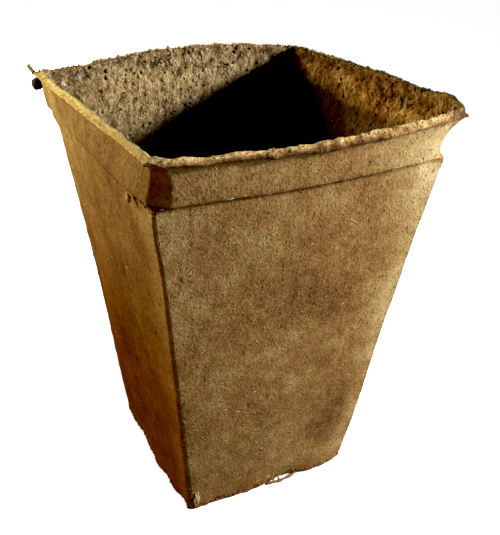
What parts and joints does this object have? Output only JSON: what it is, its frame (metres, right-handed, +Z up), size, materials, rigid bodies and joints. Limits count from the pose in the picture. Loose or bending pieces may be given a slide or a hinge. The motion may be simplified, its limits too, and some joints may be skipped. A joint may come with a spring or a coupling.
{
  "type": "square planting pot",
  "caption": "Tall square tapered planting pot pressed from manure fibre, with a collar band that flares into a thin rim lip and a drain hole; it holds soil and a seedling.",
  "frame": {"origin": "centre of the pot's base, on the surface it stands on", "axes": "+Z up along the pot's axis, -Y out of the front side, +X to the right of the front side"},
  "size_m": [0.1173, 0.1173, 0.1556],
  "materials": {
    "pulp": "rough matte moulded fibre",
    "straw": "matte dry straw",
    "compost": "rough dark crumb",
    "fibre": "matte fibre strand"
  },
  "bodies": {
    "root": {"pot_body": "pulp", "rim_straw": "straw", "rim_clod": "compost", "collar_chaff": "straw", "front_straw_fleck": "straw", "foot_straw_flake": "straw", "foot_strand": "fibre"}
  },
  "joints": []
}
